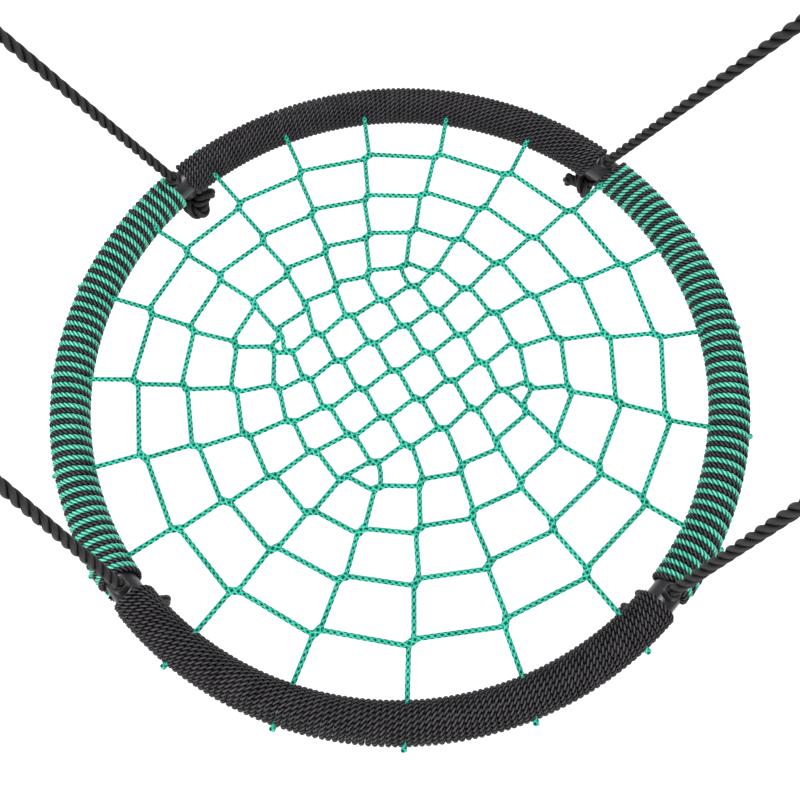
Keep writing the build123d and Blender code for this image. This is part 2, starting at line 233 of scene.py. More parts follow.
def add_twisted(mesh, centre, normals, radius, lay):
    """A small three-strand cord as one lobed tube, right-hand laid."""
    around = np.arange(3 * TWISTED_SIDES) * 2 * math.pi / (3 * TWISTED_SIDES)
    height = (0.5 + 0.5 * np.cos(3 * around)) ** TWISTED_CROWN
    profile = 1 - TWISTED_GROOVE + TWISTED_GROOVE * height
    twist = 2 * math.pi * lengths_along(centre) / lay
    radii = radius * np.broadcast_to(profile, (len(centre), len(profile)))
    # The lobes' heights also paint shade into the grooves and highlight onto the crowns
    shade_heights = np.broadcast_to(height, radii.shape)
    mesh.sweep(centre, normals, around, radii, shade_heights, twist)


def add_laid(mesh, points, first, radius, lay, phase=0.0, scale=None):
    """A rope of three strands, right-hand laid, each a little flattened by the others."""
    normals, directions = carried_normals(points, first)
    across = np.cross(directions, normals)
    along = lengths_along(points)
    size = np.ones(len(points)) if scale is None else scale
    around = np.arange(STRAND_SIDES) * 2 * math.pi / STRAND_SIDES
    # Each strand's height round it, used only to paint highlight on its crown and shade where it meets the
    # others
    height = 0.5 + 0.5 * np.cos(around)
    flatten = 1.0 - STRAND_CRUSH * np.cos(2 * around)
    for strand in range(3):
        turn = 2 * math.pi * (along / lay + strand / 3) + phase
        outward = np.cos(turn)[:, None] * normals + np.sin(turn)[:, None] * across
        centre = points + outward * (radius * (1 - STRAND_SHARE) * size)[:, None]
        radii = radius * STRAND_SHARE * size[:, None] * flatten[None, :]
        shade_heights = np.broadcast_to(height, radii.shape)
        mesh.sweep(centre, outward, around, radii, shade_heights)


def add_braided(mesh, points, first, radius, scale=None):
    """A braided cord: strands run round it both ways, and each stands proud where it lies on top."""
    normals, _ = carried_normals(points, first)
    along = lengths_along(points)
    around = np.arange(BRAID_SIDES) * 2 * math.pi / BRAID_SIDES
    turn = 2 * math.pi * along[:, None] / BRAID_LAY * BRAID_STRANDS
    right = np.cos(BRAID_STRANDS * around[None, :] - turn)
    left = np.cos(BRAID_STRANDS * around[None, :] + turn)
    height = np.clip(0.5 + 0.5 * np.maximum(right, left), 0, 1) ** BRAID_CROWN
    size = np.ones(len(points)) if scale is None else scale
    radii = radius * size[:, None] * (1 - BRAID_RELIEF + BRAID_RELIEF * height)
    # The same heights paint shade into the grooves and highlight onto the crowns
    mesh.sweep(points, normals, around, radii, height)


# --- materials ------------------------------------------------------------------------------
def linear(red, green, blue):
    """A screen colour, 0 to 255, as linear light."""
    shares = [value / 255 for value in (red, green, blue)]
    light = [s / 12.92 if s <= 0.04045 else ((s + 0.055) / 1.055) ** 2.4 for s in shares]
    return (*light, 1.0)


class Nodes:
    """A material's node tree, with short ways to add and join nodes."""

    def __init__(self, name):
        self.material = bpy.data.materials.new(name)
        self.material.use_nodes = True
        self.tree = self.material.node_tree
        self.shader = self.tree.nodes["Principled BSDF"]

    def add(self, kind, **settings):
        """A node, with its plain settings."""
        node = self.tree.nodes.new(kind)
        for name, value in settings.items():
            setattr(node, name, value)
        return node

    def join(self, output, target):
        """A link from an output to an input."""
        self.tree.links.new(output, target)

    def noise(self, scale, detail=3.0, vector=None):
        """Soft noise, on the object's own coordinates or on the given ones."""
        node = self.add("ShaderNodeTexNoise")
        node.inputs["Scale"].default_value = scale
        node.inputs["Detail"].default_value = detail
        if vector is None:
            vector = self.add("ShaderNodeTexCoord").outputs["Object"]
        self.join(vector, node.inputs["Vector"])
        return node.outputs["Fac"]

    def maths(self, operation, first, second):
        """Arithmetic on outputs or plain numbers."""
        node = self.add("ShaderNodeMath", operation=operation)
        for socket, value in zip(node.inputs, (first, second)):
            if isinstance(value, (int, float)):
                socket.default_value = value
            else:
                self.join(value, socket)
        return node.outputs[0]

    def ramp(self, factor, stops):
        """A colour ramp: places and colours."""
        node = self.add("ShaderNodeValToRGB")
        elements = node.color_ramp.elements
        while len(elements) < len(stops):
            elements.new(0.5)
        for element, (place, colour) in zip(elements, stops):
            element.position = place
            element.color = colour
        self.join(factor, node.inputs["Fac"])
        return node.outputs["Color"]

    def span(self, factor, low, high):
        """A factor from 0 to 1, spread from low to high."""
        node = self.add("ShaderNodeMapRange")
        node.inputs["To Min"].default_value = low
        node.inputs["To Max"].default_value = high
        self.join(factor, node.inputs["Value"])
        return node.outputs["Result"]

    def bump(self, height, strength, distance):
        """A bump into the shader's normal."""
        node = self.add("ShaderNodeBump")
        node.inputs["Strength"].default_value = strength
        node.inputs["Distance"].default_value = distance
        self.join(height, node.inputs["Height"])
        self.join(node.outputs["Normal"], self.shader.inputs["Normal"])

    def set(self, **values):
        """Plain values on the shader's own sockets."""
        for name, value in values.items():
            self.shader.inputs[name.replace("_", " ")].default_value = value


def cord_material(name, painted_groove_shade, body, painted_ridge_highlight, rough, fibre_scale, crown, sheen, gloss):
    """Spun filament cord: painted shade between the strands, painted highlight on their crowns, with fine
    fibres along them.

    The cord attribute gives the place along and around the cord and the height, which sets the painted shade
    and highlight;
    fibre_scale is for the first two. A crown under 1 keeps the lightest painted highlight off the ridges.
    """
    nodes = Nodes(name)
    place = nodes.add("ShaderNodeAttribute", attribute_name="cord").outputs["Vector"]
    parts = nodes.add("ShaderNodeSeparateXYZ")
    nodes.join(place, parts.inputs[0])
    fibres_at = nodes.add("ShaderNodeMapping")
    fibres_at.inputs["Scale"].default_value = (fibre_scale[0], fibre_scale[1], 1.0)
    nodes.join(place, fibres_at.inputs["Vector"])
    fibres = nodes.noise(1.0, 4.0, fibres_at.outputs["Vector"])
    patches = nodes.noise(38.0)
    painted_shade_and_tone = nodes.maths("ADD", parts.outputs["Z"], nodes.span(fibres, -0.22, 0.22))
    painted_shade_and_tone = nodes.maths("ADD", painted_shade_and_tone, nodes.span(patches, -0.16, 0.16))
    painted_shade_and_tone = nodes.maths("MULTIPLY", painted_shade_and_tone, crown)
    # Painted shade in the grooves and painted highlight on the crowns, from the height, with fibre and patch
    # tone mixed in
    colour = nodes.ramp(painted_shade_and_tone, ((0.05, painted_groove_shade), (0.50, body), (0.98, painted_ridge_highlight)))
    nodes.join(colour, nodes.shader.inputs["Base Color"])
    nodes.join(nodes.span(fibres, rough - 0.08, rough + 0.10), nodes.shader.inputs["Roughness"])
    nodes.set(Sheen_Weight=sheen, Sheen_Roughness=0.45, Specular_IOR_Level=gloss)
    nodes.bump(fibres, 0.45, 0.0004)
    return nodes.material


def painted_tube():
    """Satin black powder coat on the bare tube."""
    nodes = Nodes("powder_coat")
    grain = nodes.noise(900.0, 2.0)
    wear = nodes.noise(60.0, 5.0)
    colour = nodes.ramp(wear, ((0.35, linear(20, 20, 23)), (0.70, linear(40, 39, 43))))
    nodes.join(colour, nodes.shader.inputs["Base Color"])
    nodes.join(nodes.span(wear, 0.26, 0.42), nodes.shader.inputs["Roughness"])
    nodes.set(Coat_Weight=0.15, Coat_Roughness=0.3)
    nodes.bump(grain, 0.12, 0.0003)
    return nodes.material


def moulded_plastic(name, dark, light, rough):
    """Moulded plastic with a fine grain and slightly cloudy colour."""
    nodes = Nodes(name)
    cloud = nodes.noise(90.0, 4.0)
    grain = nodes.noise(1600.0, 2.0)
    colour = nodes.ramp(cloud, ((0.3, dark), (0.7, light)))
    nodes.join(colour, nodes.shader.inputs["Base Color"])
    nodes.join(nodes.span(cloud, rough - 0.06, rough + 0.08), nodes.shader.inputs["Roughness"])
    nodes.bump(grain, 0.15, 0.0002)
    return nodes.material


def zinc_steel(name, dark, light, rough):
    """Zinc-plated steel: faint clouding, fine handling marks and a brushed grain."""
    nodes = Nodes(name)
    cloud = nodes.noise(45.0, 6.0)
    stretched = nodes.add("ShaderNodeMapping")
    stretched.inputs["Scale"].default_value = (1.0, 9.0, 1.0)
    nodes.join(nodes.add("ShaderNodeTexCoord").outputs["Object"], stretched.inputs["Vector"])
    grain = nodes.noise(420.0, 3.0, stretched.outputs["Vector"])
    colour = nodes.ramp(cloud, ((0.3, dark), (0.7, light)))
    nodes.join(colour, nodes.shader.inputs["Base Color"])
    marks = nodes.maths("ADD", nodes.span(grain, -0.06, 0.06), nodes.span(cloud, rough - 0.05, rough + 0.12))
    nodes.join(marks, nodes.shader.inputs["Roughness"])
    nodes.set(Metallic=1.0)
    nodes.bump(grain, 0.10, 0.0002)
    return nodes.material


TUBE_PAINT = painted_tube()
BLACK_PLASTIC = moulded_plastic("bush_plastic", linear(22, 22, 24), linear(38, 37, 40), 0.42)
NYLON = moulded_plastic("nylon", linear(214, 210, 198), linear(232, 229, 220), 0.38)
PLATED = zinc_steel("zinc_plate", linear(172, 175, 180), linear(204, 206, 208), 0.30)
BRIGHT = zinc_steel("bright_steel", linear(188, 190, 194), linear(216, 217, 218), 0.20)
# In each cord material the groove colour is painted shade and the ridge colour painted highlight; body is
# the cord's own colour
GREEN_WINDING = cord_material(
    "green_winding_cord", painted_groove_shade=linear(0, 70, 56), body=linear(22, 168, 138), painted_ridge_highlight=linear(140, 240, 216),
    rough=0.36, fibre_scale=(260.0, 5.0), crown=0.96, sheen=0.05, gloss=0.26,
)
BLACK_WINDING = cord_material(
    "black_winding_cord", painted_groove_shade=linear(0, 0, 0), body=linear(4, 4, 5), painted_ridge_highlight=linear(94, 90, 95),
    rough=0.32, fibre_scale=(260.0, 5.0), crown=0.95, sheen=0.0, gloss=0.14,
)
NET_GREEN = cord_material(
    "green_net_cord", painted_groove_shade=linear(0, 42, 32), body=linear(0, 132, 108), painted_ridge_highlight=linear(96, 240, 212),
    rough=0.40, fibre_scale=(420.0, 4.0), crown=0.82, sheen=0.0, gloss=0.10,
)
ROPE_BLACK = cord_material(
    "black_laid_rope", painted_groove_shade=linear(3, 3, 3), body=linear(22, 20, 21), painted_ridge_highlight=linear(60, 57, 58),
    rough=0.50, fibre_scale=(90.0, 7.0), crown=0.95, sheen=0.0, gloss=0.12,
)


def finish_node(name, material):
    """Gives a CAD node its material."""
    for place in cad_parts[name].material_slots:
        place.material = material


# --- ropes ----------------------------------------------------------------------------------
ROPE_LAY = 0.060
ROPE_STEP = 0.0016
STRAIGHT_RUN = 12 * ROPE_RADIUS    # kept straight at both ends of a rope
EYE_INNER = 0.012
THIMBLE_WALL = 0.003
EYE_BEND = EYE_INNER + THIMBLE_WALL + ROPE_RADIUS
EYE_DROP = 0.003           # from the carabiner's bar down to the middle of the eye's round end
THROAT = 0.062
THROAT_HALF = 0.0084
EYE_POINTS = 60
SPLICE_LENGTH = 0.112
SPLICE_START = 0.004       # how far above the throat the splice begins
TUCK_LAY = 1.35 * ROPE_LAY         # the tucked strands run round the rope against its lay
TUCK_RADIUS = 0.92 * STRAND_SHARE * ROPE_RADIUS
TUCK_TIP = 0.30            # a tucked strand's size at the splice's foot
TUCK_FULL = 0.80           # the share of the splice over which it grows to its full size
TUCK_SEAT = 0.62           # its distance from the rope's middle, in rope radii, for a strand of no size
TUCK_LIFT = 0.42           # and how much further out a strand of full size lies
TUCK_WEAVE = 0.0009        # how far it goes over and under
ROPE_TOP = EYE_DROP + THROAT       # from the bar down to the eye's throat, where the rope ends
BOTTOM_BEND = 0.032        # radius of the carabiner's lower bend
KNOT_SWELL = 0.16          # the rope is fuller in its knot than in its bush
KNOT_DROP = 1.47           # from the bush to the knot's middle, in cord diameters
KNOT_TAIL = 0.75
KNOT_SPREAD = 0.44
KNOT_DEPTH = 0.62
KNOT_OPENING = 0.42        # radians left open at each end of the knot's line
KNOT_POINTS = 22
END_POINTS = 5             # a cord's end is rounded off over this many points
END_TIP = 0.35


class RopeLine:
    """A rope's line from its hole in the ring up to the bar that its eye hangs on."""

    def __init__(self, name, angle):
        self.name = name
        side = -1 if "left" in name else 1
        end = -1 if "front" in name else 1
        self.angle = angle
        self.hole = polar(RING_RADIUS, angle, SAUCER_Z)
        bearing = np.array((side * HANGER_X, end * EYE_Y, -BEARING_DROP))
        self.length = np.linalg.norm(bearing - self.hole)
        self.up = (bearing - self.hole) / self.length
        bar = unit(np.array((0.0, math.sqrt(BOTTOM_BEND**2 - EYE_Y**2), end * EYE_Y)))
        self.across = unit(bar - self.up * (bar @ self.up))
        self.side = np.cross(self.up, self.across)

    def at(self, distance):
        """The point this far up the rope from the middle of the hole."""
        return self.hole + self.up * distance

    def lean(self):
        """How far the rope leans along the ring for each metre that it rises."""
        tangent = polar(1.0, self.angle + 90, 0.0)
        return (self.up @ tangent) / self.up[2]


ROPES = {name: RopeLine(name, angle) for name, angle in ROPE_HOLES.items()}


def hanging_rope(line):
    """A rope pulled straight from its bush up through the middle of its splice."""
    foot = BUSH_HALF
    top = line.length - ROPE_TOP
    control = [line.at(foot), line.at(foot + STRAIGHT_RUN), line.at(top - STRAIGHT_RUN), line.at(top)]
    points = spline_points(control, ROPE_STEP)
    mesh = CordMesh()
    add_laid(mesh, points, line.side, ROPE_RADIUS, ROPE_LAY, 2 * math.pi * foot / ROPE_LAY)
    rope = mesh.build(f"laid_rope_{line.name}", ROPE_BLACK)
    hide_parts(f"rope_{line.name}")
    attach(rope, SWING)
    return rope, points, top - foot


def overhand(size):
    """The line of a tight overhand knot in a cord this thick: in along +Z, with its tail out below."""
    start = math.pi / 3 + KNOT_OPENING
    turns = np.linspace(start, start + 2 * math.pi - 2 * KNOT_OPENING, KNOT_POINTS)
    x = KNOT_SPREAD * (np.sin(turns) + 2 * np.sin(2 * turns))
    y = KNOT_SPREAD * (np.cos(turns) - 2 * np.cos(2 * turns))
    z = -KNOT_DEPTH * np.sin(3 * turns)
    middle = np.stack((x, y, z), axis=1)
    first = middle[0, :2]
    last = middle[-1, :2]
    # In cord diameters: down from the bush into the knot, and out of it below
    enter = [(0.0, 0.0, 1.9), (0.05, 0.05, 1.35), (*(0.55 * first), 0.95)]
    leave = [(*(1.02 * last), z[-1] - 0.35), (*(0.86 * last), -1.0), (*(0.9 * last), -1.0 - KNOT_TAIL)]
    return size * np.vstack((enter, middle, leave))


def tapered_end(count):
    """Scales that round off a cord's end over its last points."""
    scale = np.ones(count)
    ramp = np.linspace(1, 0, END_POINTS)
    scale[-END_POINTS:] = END_TIP + (1 - END_TIP) * np.sqrt(1 - (1 - ramp) ** 2)
    return scale


def stopper_knot(line):
    """The rope's end: through the bush, an overhand knot under the ring, and a short tail."""
    size = 2 * ROPE_RADIUS * (1 + KNOT_SWELL)
    centre = line.at(-(BUSH_HALF + KNOT_DROP * size))
    control = centre + overhand(size) @ np.stack((line.side, line.across, line.up))
    control = np.vstack(([line.at(BUSH_HALF)], [line.at(0.0)], control))
    points = spline_points(control, ROPE_STEP)
    mesh = CordMesh()
    swell = 1 + KNOT_SWELL * np.clip((lengths_along(points) - 2 * BUSH_HALF) / ROPE_RADIUS, 0, 1)
    scale = swell * tapered_end(len(points))
    add_laid(mesh, points, line.side, ROPE_RADIUS, ROPE_LAY, 0.0, scale)
    knot = mesh.build(f"stopper_knot_{line.name}", ROPE_BLACK)
    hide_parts(f"rope_knot_{line.name}")
    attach(knot, SWING)


def spliced_eye(line):
    """The rope's top: an eye round the thimble, and the strands tucked back into the rope."""
    centre = line.at(line.length - EYE_DROP)
    reach = math.hypot(THROAT_HALF, THROAT)
    touch = math.atan2(-THROAT, THROAT_HALF) + math.acos(EYE_BEND / reach)
    bend = np.linspace(math.pi - touch, touch, EYE_POINTS)
    arc = np.stack((EYE_BEND * np.cos(bend), EYE_BEND * np.sin(bend)), axis=1)
    legs = np.vstack(([(-THROAT_HALF, -THROAT)], arc, [(THROAT_HALF, -THROAT)]))
    points = centre + legs[:, :1] * line.side + legs[:, 1:] * line.up
    points = evenly(points, ROPE_STEP)
    mesh = CordMesh()
    add_laid(mesh, points, line.across, ROPE_RADIUS, ROPE_LAY)

    top = line.length - EYE_DROP - THROAT + SPLICE_START
    core = evenly(np.array((line.at(top - SPLICE_LENGTH), line.at(top))), ROPE_STEP)
    along = lengths_along(core)
    share = along / along[-1]
    around = np.arange(STRAND_SIDES) * 2 * math.pi / STRAND_SIDES
    # Height round each tucked strand, used only to paint highlight on its crown and shade at its sides
    height = 0.5 + 0.5 * np.cos(around)
    size = TUCK_TIP + (1 - TUCK_TIP) * np.clip(share / TUCK_FULL, 0, 1)
    for strand in range(3):
        turn = -2 * math.pi * (along / TUCK_LAY + strand / 3)
        weave = TUCK_WEAVE * np.cos(3 * turn + 1.5 * strand)
        distance = ROPE_RADIUS * (TUCK_SEAT + TUCK_LIFT * size) + weave * size
        outward = np.cos(turn)[:, None] * line.side + np.sin(turn)[:, None] * line.across
        radii = TUCK_RADIUS * np.outer(size, np.ones(STRAND_SIDES))
        shade_heights = np.broadcast_to(height, radii.shape)
        mesh.sweep(core + outward * distance[:, None], outward, around, radii, shade_heights)
    eye = mesh.build(f"spliced_eye_{line.name}", ROPE_BLACK)
    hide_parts(f"rope_eye_{line.name}")
    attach(eye, SWING)
    return eye


def make_ropes():
    """Four ropes, each with its knot and its eye."""
    for name, line in ROPES.items():
        stopper_knot(line)
        eye = spliced_eye(line)
        rope, points, length = hanging_rope(line)
        tuple(line.at(BUSH_HALF))


# --- windings -------------------------------------------------------------------------------
CORD_RADIUS = 0.0042
GREEN_SHARE = 1.03         # the green cord is a little thicker than the black one
WIND_RADIUS = TUBE_RADIUS + 0.0038     # from the tube's centre line to the cord's, pressed on a little
CORD_LAY = 0.0185
BARE_HALF = 0.0110         # from the middle of a rope hole to the first turn
BUSH_PUSH = 0.0034         # the rope's bush pushes the turns beside it away
BUSH_FADE = 0.025
LEAN_FADE = 0.045          # the turns beside a rope lie along it, and straighten over this distance
PITCH = 0.0079             # black quarters
STRIPE_PITCH = 0.0162      # striped quarters: a green and a black cord side by side
# The rope holes that a black quarter runs between
PLAIN_QUARTERS = {"back": ("back_right", "back_left"), "front": ("front_left", "front_right")}
# The same for a striped quarter, and where its green and its black cord start, in pitches.
# On the left the green cord comes first and the black one last; on the right black comes first and last.
STRIPED_QUARTERS = {
    "left": ("back_left", "front_left", 0.0, 0.5),
    "right": ("front_right", "back_right", 0.5, 0.0),
}
STEPS_PER_TURN = 80
CROWDING = 0.00012         # how unevenly the turns lie
SPOKE_PUSH = 0.0016        # a net cord pushes the turns apart
SPOKE_HALF = 0.0015        # half its width between them
SPOKE_FADE = 0.0060
WIND_END_DEPTH = 0.003     # a wound cord's ends are tucked in this far
WIND_END_TURN = 0.6        # over this many radians


def rim_angle(k):
    """Where spoke k goes through the ring."""
    plain = SPOKE_STEP * k + RIM_TURN
    return plain + SKEW * math.cos(math.radians(plain - SKEW_SIDE))


RIM_ANGLES = [rim_angle(k) % 360 for k in range(SPOKES)]


def quarter_arc(first, last):
    """The length of the ring from one rope hole to the next."""
    return math.radians((ROPE_HOLES[last] - ROPE_HOLES[first]) % 360) * RING_RADIUS


def helix(first, last, pitch, offset, turns):
    """The centre line and outward normals of a cord wound on the ring, from one rope hole to the next."""
    start = ROPE_HOLES[first]
    arc = quarter_arc(first, last)
    steps = turns * STEPS_PER_TURN
    wind = np.linspace(0, 2 * math.pi * turns, steps)
    crowding = RANDOM.normal(0, CROWDING, turns + 3)
    wobble = np.interp(wind / (2 * math.pi), np.arange(len(crowding)), crowding)
    place = BARE_HALF + offset + pitch * wind / (2 * math.pi) + wobble
    # On the top and underside the turns beside a rope are pushed on by its bush and lean with the rope
    rise = WIND_RADIUS * np.sin(wind)
    beside = BUSH_PUSH * np.sin(wind) ** 6
    place = place + beside * np.exp(-(place - BARE_HALF) / BUSH_FADE)
    place = place - beside * np.exp(-(arc - BARE_HALF - place) / BUSH_FADE)
    place = place + rise * ROPES[first].lean() * np.exp(-place / LEAN_FADE)
    place = place + rise * ROPES[last].lean() * np.exp(-(arc - place) / LEAN_FADE)
    # On the inside and outside they are pushed apart by the net's cords
    for angle in RIM_ANGLES:
        spoke = math.radians((angle - start) % 360) * RING_RADIUS
        if spoke < arc:
            gap = place - spoke
            push = SPOKE_PUSH * np.tanh(gap / SPOKE_HALF) * np.exp(-np.abs(gap) / SPOKE_FADE)
            place = place + push * np.abs(np.cos(wind)) ** 3
    angle = math.radians(start) + place / RING_RADIUS
    radial = np.stack((np.cos(angle), np.sin(angle), np.zeros(steps)), axis=1)
    normals = np.cos(wind)[:, None] * radial + np.sin(wind)[:, None] * UP
    tuck = np.minimum(1, np.minimum(wind, wind[-1] - wind) / WIND_END_TURN)
    depth = WIND_RADIUS - WIND_END_DEPTH * (1 - tuck)
    centre = RING_RADIUS * radial + depth[:, None] * normals + SAUCER_Z * UP
    return centre, normals


def wind_cord(name, quarter, pitch, offset, turns, material, slot):
    """One wound cord as its own piece."""
    centre, normals = helix(*quarter, pitch, offset, turns)
    radius = CORD_RADIUS * (GREEN_SHARE if slot == "green_cord" else 1.0)
    mesh = CordMesh()
    add_twisted(mesh, centre, normals, radius, CORD_LAY)
    cord = mesh.build(name, material)
    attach(cord, SWING)
    return cord


def make_windings():
    """Black windings at the back and front, and striped ones at the left and right."""
    for name, quarter in PLAIN_QUARTERS.items():
        run = quarter_arc(*quarter) - 2 * BARE_HALF
        turns = round(run / PITCH)
        pitch = run / turns
        cord = wind_cord(f"wound_cord_{name}", quarter, pitch, 0.0, turns, BLACK_WINDING, "black_cord")
        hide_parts(f"winding_{name}")
    for name, (first, last, green_start, black_start) in STRIPED_QUARTERS.items():
        quarter = (first, last)
        run = quarter_arc(*quarter) - 2 * BARE_HALF
        turns = round(run / STRIPE_PITCH)
        pitch = run / (turns + black_start)
        # A green cord that starts half a pitch in has one turn less, so that black comes last as well
        green = wind_cord(
            f"green_wound_cord_{name}", quarter, pitch, pitch * green_start,
            turns - round(2 * green_start), GREEN_WINDING, "green_cord",
        )
        wind_cord(
            f"black_wound_cord_{name}", quarter, pitch, pitch * black_start,
            turns, BLACK_WINDING, "black_cord",
        )
        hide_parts(f"winding_{name}")


# --- net ------------------------------------------------------------------------------------
NET_RADIUS = 0.0036
NET_STEP = 0.0012
CROSS_HALF = 0.0082        # half the stretch where one cord runs through the other
CROSS_SIDE = 0.0026        # how far each lies to its side at the ends of that stretch
CROSS_RISE = 0.0006        # how far one rises and the other dips in the middle of it
CROSS_LEVEL = 0.4          # and at its ends, as a share of that
RUN_BEND = 0.0090          # from a crossing to where the cord runs straight
SLEEVE_SWELL = 0.48        # a braided cord opens round the one that runs through it
SLEEVE_HALF = 0.0092
END_OUT = 0.0018           # how far a cord's end stands out of the winding
FRONT_END_OUT = 0.0052     # the front ones are tied off longer
END_SWELL = 0.22
END_START = 0.010          # how far inside the winding's outside an end stop begins
SWELL_FROM = 0.008         # along the stop, to where it begins to swell
SWELL_OVER = 0.004
END_SPREAD = (0.85, 1.15)  # shortest and longest, against END_OUT or FRONT_END_OUT
END_BEND = (-0.0016, 0.0016)       # how far an end leans sideways
END_SAG = (-0.0020, 0.0004)        # and upwards


def ring_node(ring, k):
    """Where spoke k crosses a net ring."""
    radius, turn, widen, lengthen, bulge, sway = NET_RINGS[ring]
    half = GRID_LINES // 2
    side, place = divmod(k % SPOKES + half, GRID_LINES)
    place -= half
    plain = SPOKE_STEP * k + RIM_TURN
    angle = SPOKE_STEP * k + turn + SKEW * math.cos(math.radians(plain - SKEW_SIDE)) + widen * place
    angle += sway if side % 2 else -sway
    stretch = 1 + lengthen * math.cos(math.radians(2 * (angle - LONG_SIDE)))
    # Less 2, the mean of place squared, the bulge leaves the ring's mean radius as it is
    return polar((radius + bulge * (place**2 - 2)) * stretch, angle, NET_Z) + RINGS_CENTRE


def grid_node(i, j):
    """Where line A number i crosses line B number j in the middle of the net."""
    half = GRID_LINES // 2
    along_a = polar((j - half) * GRID_PITCH, GRID_A, 0.0)
    along_b = polar((half - i) * GRID_PITCH, GRID_B, 0.0)
    pull = 1 - CORNER_PULL * abs((i - half) * (j - half)) / half**2
    return GRID_CENTRE + (along_a + along_b) * pull


def crossing(node, merge, side, over):
    """Three points of a cord that meets another, runs along it, passes over or under it, and leaves."""
    rise = CROSS_RISE * over * UP
    aside = np.cross(UP, merge) * (side * CROSS_SIDE)
    enter = node - merge * CROSS_HALF + aside + CROSS_LEVEL * rise
    leave = node + merge * CROSS_HALF - aside + CROSS_LEVEL * rise
    return [enter, node + rise, leave]


def ring_merge(node):
    """At a net ring, a spoke and the ring run side by side inwards and round the ring."""
    radial = unit(node * np.array((1.0, 1.0, 0.0)))
    return unit(np.cross(UP, radial) - radial)


def over_at(ring_number, k):
    """Crossings alternate, over and under."""
    return 1 if (ring_number + k) % 2 == 0 else -1


def straightened(groups):
    """The points of a cord's crossings, with two more on each run to keep it straight."""
    points = list(groups[0])
    for group in groups[1:]:
        run = group[0] - points[-1]
        if np.linalg.norm(run) > 3 * RUN_BEND:
            bend = unit(run) * RUN_BEND
            points += [points[-1] + bend, group[0] - bend]
        points += group
    return np.array(points)


def spoke_end(k):
    """A spoke's direction outwards, and where it leaves the ring."""
    outer = ring_node("net_ring_outer", k)
    rim = polar(RING_RADIUS, RIM_ANGLES[k], NET_Z)
    direction = unit(rim - outer)
    return direction, rim + direction * WRAP_RADIUS


def spoke_groups(k):
    """A spoke's points from its end inwards, in a group for each crossing."""
    direction, outside = spoke_end(k)
    groups = [[outside, outside - direction * WRAP_RADIUS * 2]]
    for number, ring in enumerate(NET_RINGS):
        node = ring_node(ring, k)
        groups.append(crossing(node, ring_merge(node), -1, -over_at(number, k)))
    return groups


def spoke_sleeves(k):
    """The ring crossings where this spoke opens round the ring's cord."""
    return [ring_node(ring, k) for number, ring in enumerate(NET_RINGS) if over_at(number, k) < 0]


def reversed_groups(groups):
    """The same points the other way."""
    return [group[::-1] for group in groups[::-1]]


def sleeve_scales(route, sleeves):
    """Scales that open a cord round each place where another cord runs through it."""
    scale = np.ones(len(route))
    for node in sleeves:
        share = np.linalg.norm(route - node, axis=1) / SLEEVE_HALF
        scale += SLEEVE_SWELL * np.exp(-(share**4))
    return scale


def braid_piece(name, points, sleeves, closed=False):
    """A braided net cord that takes the place of its CAD node."""
    route = spline_points(points, NET_STEP, closed)
    mesh = CordMesh()
    add_braided(mesh, route, UP, NET_RADIUS, sleeve_scales(route, sleeves))
    cord = mesh.build(f"braided_{name}", NET_GREEN)
    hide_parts(name)
    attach(cord, SWING)


def net_cord(name, crossings, side, first, last):
    """A cord right across the net: in along one spoke, through the middle, and out along another.

    Each crossing in the middle is a node and 1 for over or -1 for under; the cord that lies over opens
    round the other one.
    """
    merge = unit(polar(1.0, GRID_A, 0.0) - polar(1.0, GRID_B, 0.0))
    middle = [crossing(node, merge, side, over) for node, over in crossings]
    groups = spoke_groups(first) + middle + reversed_groups(spoke_groups(last))
    sleeves = spoke_sleeves(first) + spoke_sleeves(last)
    sleeves += [node for node, over in crossings if over > 0]
    braid_piece(name, straightened(groups), sleeves)


def make_net():
    """Five cords each way across the net, four rings, and a stop on both ends of every cord."""
    for i in range(GRID_LINES):
        crossings = [(grid_node(i, j), over_at(i, j)) for j in range(GRID_LINES)]
        net_cord(f"net_cord_a{i + 1}", crossings, -1, (8 + i) % SPOKES, (2 - i) % SPOKES)
    for j in range(GRID_LINES):
        crossings = [(grid_node(i, j), -over_at(i, j)) for i in range(GRID_LINES)]
        net_cord(f"net_cord_b{j + 1}", crossings, 1, (7 - j) % SPOKES, (13 + j) % SPOKES)
    for number, ring in enumerate(NET_RINGS):
        groups = []
        for k in range(SPOKES):
            node = ring_node(ring, k)
            groups.append(crossing(node, ring_merge(node), 1, over_at(number, k)))
        # The first crossing comes again to straighten the last run, and its three points are then dropped
        loop = straightened(groups + groups[:1])[:-3]
        sleeves = [ring_node(ring, k) for k in range(SPOKES) if over_at(number, k) > 0]
        braid_piece(ring, loop, sleeves, closed=True)
    make_end_stops()


def make_end_stops():
    """The net's cord ends, drawn through the winding and spread into a stop on its outside."""
    mesh = CordMesh()
    for k in range(SPOKES):
        direction, outside = spoke_end(k)
        level = np.cross(UP, direction)
        bend = level * RANDOM.uniform(*END_BEND) + UP * RANDOM.uniform(*END_SAG)
        at_front = ROPE_HOLES["front_left"] < RIM_ANGLES[k] < ROPE_HOLES["front_right"]
        reach = (FRONT_END_OUT if at_front else END_OUT) * RANDOM.uniform(*END_SPREAD)
        control = [outside - direction * END_START, outside]
        control.append(outside + direction * reach * 0.6 + 0.5 * bend)
        control.append(outside + direction * reach + bend)
        points = spline_points(control, NET_STEP / 2)
        along = lengths_along(points)
        swell = 1 + END_SWELL * np.clip((along - SWELL_FROM) / SWELL_OVER, 0, 1)
        add_braided(mesh, points, level, NET_RADIUS, swell * tapered_end(len(points)))
    stops = mesh.build("cord_end_stops", NET_GREEN)
    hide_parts("net_end_knots")
    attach(stops, SWING)


